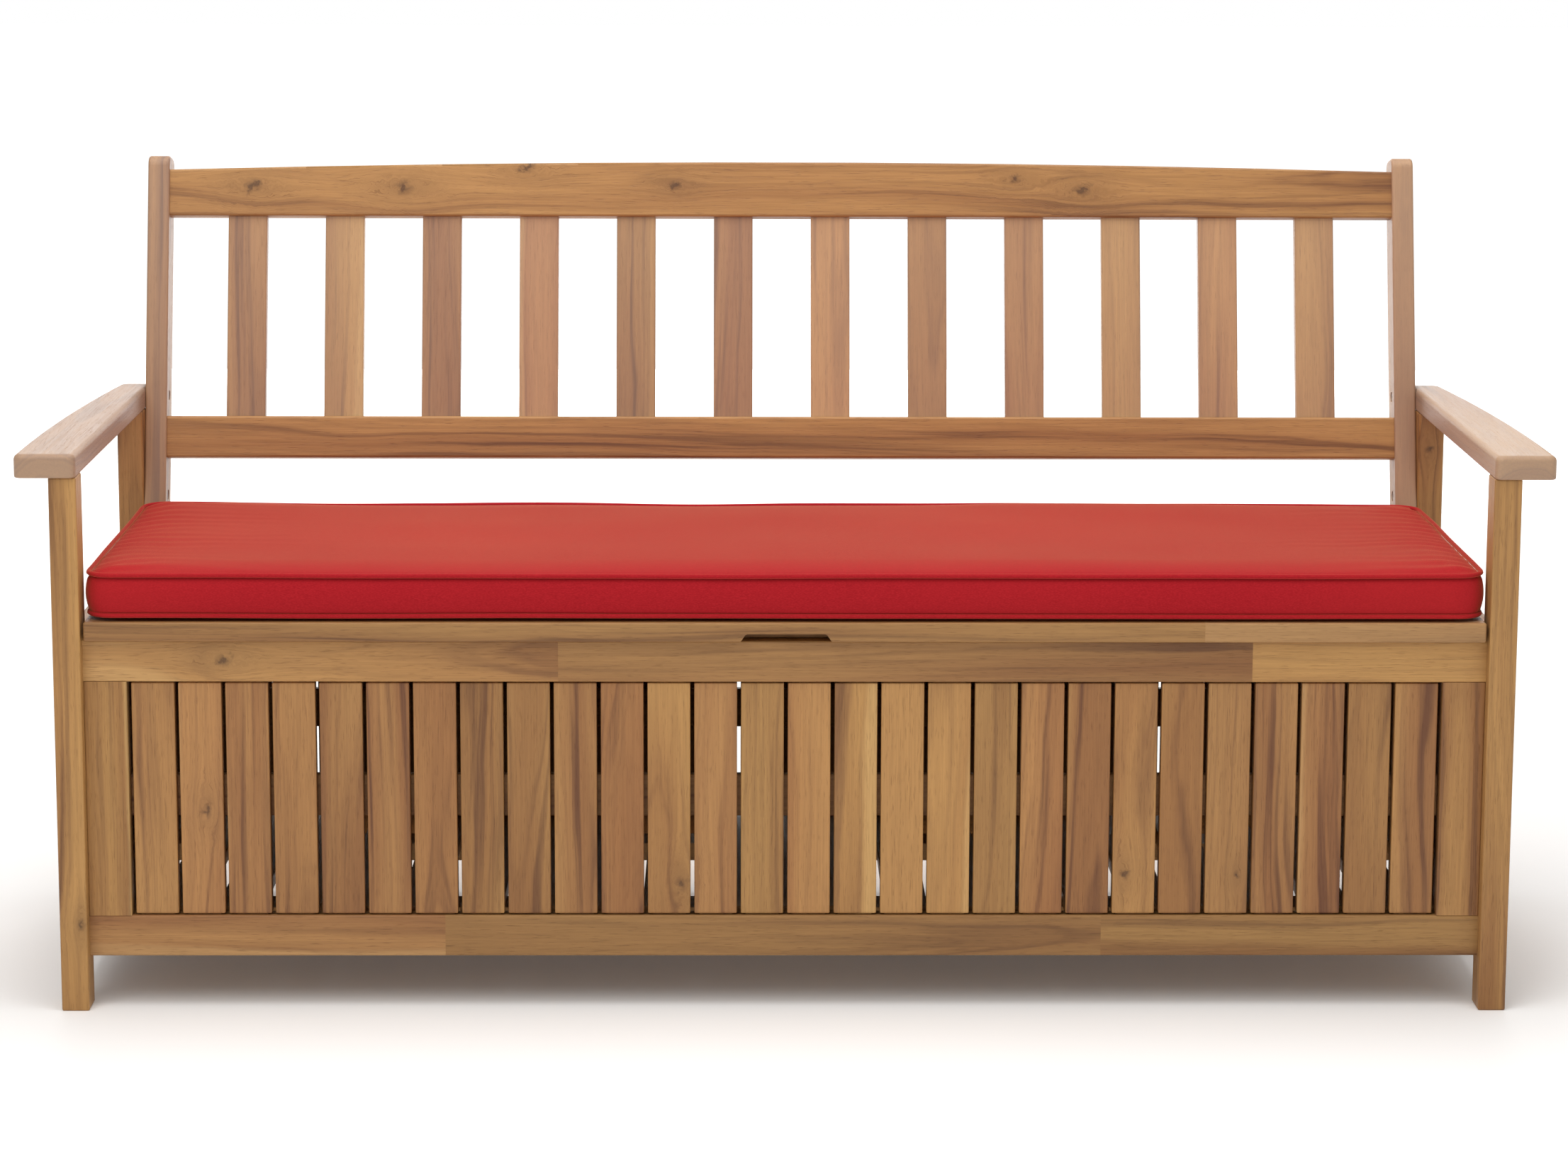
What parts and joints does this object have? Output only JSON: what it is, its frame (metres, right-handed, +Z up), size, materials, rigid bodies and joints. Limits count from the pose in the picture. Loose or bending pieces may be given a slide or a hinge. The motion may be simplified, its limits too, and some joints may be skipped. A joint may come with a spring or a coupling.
{
  "type": "deck storage box",
  "caption": "Slatted wooden storage bench: a box with a hinged seat lid and finger notch, leaning slatted back, two armrests and a loose red piped seat cushion.",
  "frame": {"origin": "centre of the footprint, on the ground under the four feet", "axes": "+X along the bench to the sitter's left, +Y from the front to the back, +Z up; the front faces -Y"},
  "size_m": [1.6, 0.5946, 0.858],
  "materials": {
    "frame_wood": "oiled satin",
    "slat_wood": "oiled satin",
    "inner_wood": "planed",
    "lid_wood": "oiled satin",
    "dowel_wood": "planed",
    "zinc_steel": "zinc plated",
    "hinge_steel": "zinc plated",
    "red_fabric": "plain woven polyester"
  },
  "bodies": {
    "root": {"front_leg_left": "frame_wood", "front_leg_right": "frame_wood", "rear_leg_left": "frame_wood", "rear_leg_right": "frame_wood", "armrest_left": "frame_wood", "armrest_right": "frame_wood", "back_stile_left": "frame_wood", "back_stile_right": "frame_wood", "back_lower_rail": "frame_wood", "back_top_rail": "frame_wood", "back_slat_01": "frame_wood", "back_slat_02": "frame_wood", "back_slat_03": "frame_wood", "back_slat_04": "frame_wood", "back_slat_05": "frame_wood", "back_slat_06": "frame_wood", "back_slat_07": "frame_wood", "back_slat_08": "frame_wood", "back_slat_09": "frame_wood", "back_slat_10": "frame_wood", "back_slat_11": "frame_wood", "back_slat_12": "frame_wood", "front_panel_top_rail": "frame_wood", "front_panel_bottom_rail": "frame_wood", "front_panel_stile_left": "frame_wood", "front_panel_stile_right": "frame_wood", "rear_panel_top_rail": "frame_wood", "rear_panel_bottom_rail": "frame_wood", "rear_panel_stile_left": "frame_wood", "rear_panel_stile_right": "frame_wood", "side_top_rail_left": "frame_wood", "side_top_rail_right": "frame_wood", "side_bottom_rail_left": "frame_wood", "side_bottom_rail_right": "frame_wood", "hinge_rail": "frame_wood", "front_panel_slats": "slat_wood", "rear_panel_slats": "slat_wood", "side_slats_left": "slat_wood", "side_slats_right": "slat_wood", "front_panel_mid_batten": "inner_wood", "rear_panel_mid_batten": "inner_wood", "side_mid_batten_left": "inner_wood", "side_mid_batten_right": "inner_wood", "floor_battens": "inner_wood", "floor_slats": "inner_wood", "dowels": "dowel_wood", "frame_bolts": "zinc_steel", "barrel_nuts": "zinc_steel", "hinge_rail_screws": "zinc_steel", "hinge_fixed_leaves": "hinge_steel", "hinge_pins": "hinge_steel"},
    "lid": {"lid_front_board": "lid_wood", "lid_boards": "lid_wood", "lid_battens": "lid_wood", "hinge_lid_leaves": "hinge_steel", "lid_screws": "zinc_steel"},
    "cushion": {"cushion": "red_fabric"}
  },
  "joints": [
    {"name": "lid_hinge", "type": "hinge", "parent": "root", "child": "lid", "pos_m": [0, 0.14417, 0.416], "axis": [-1, 0, 0], "range_deg": [0, 96], "deforming": ["cushion"]},
    {"name": "cushion_slide", "type": "slide", "parent": "lid", "child": "cushion", "axis": [0, -0.9848, 0.1736], "range_m": [0, 0.5]}
  ]
}
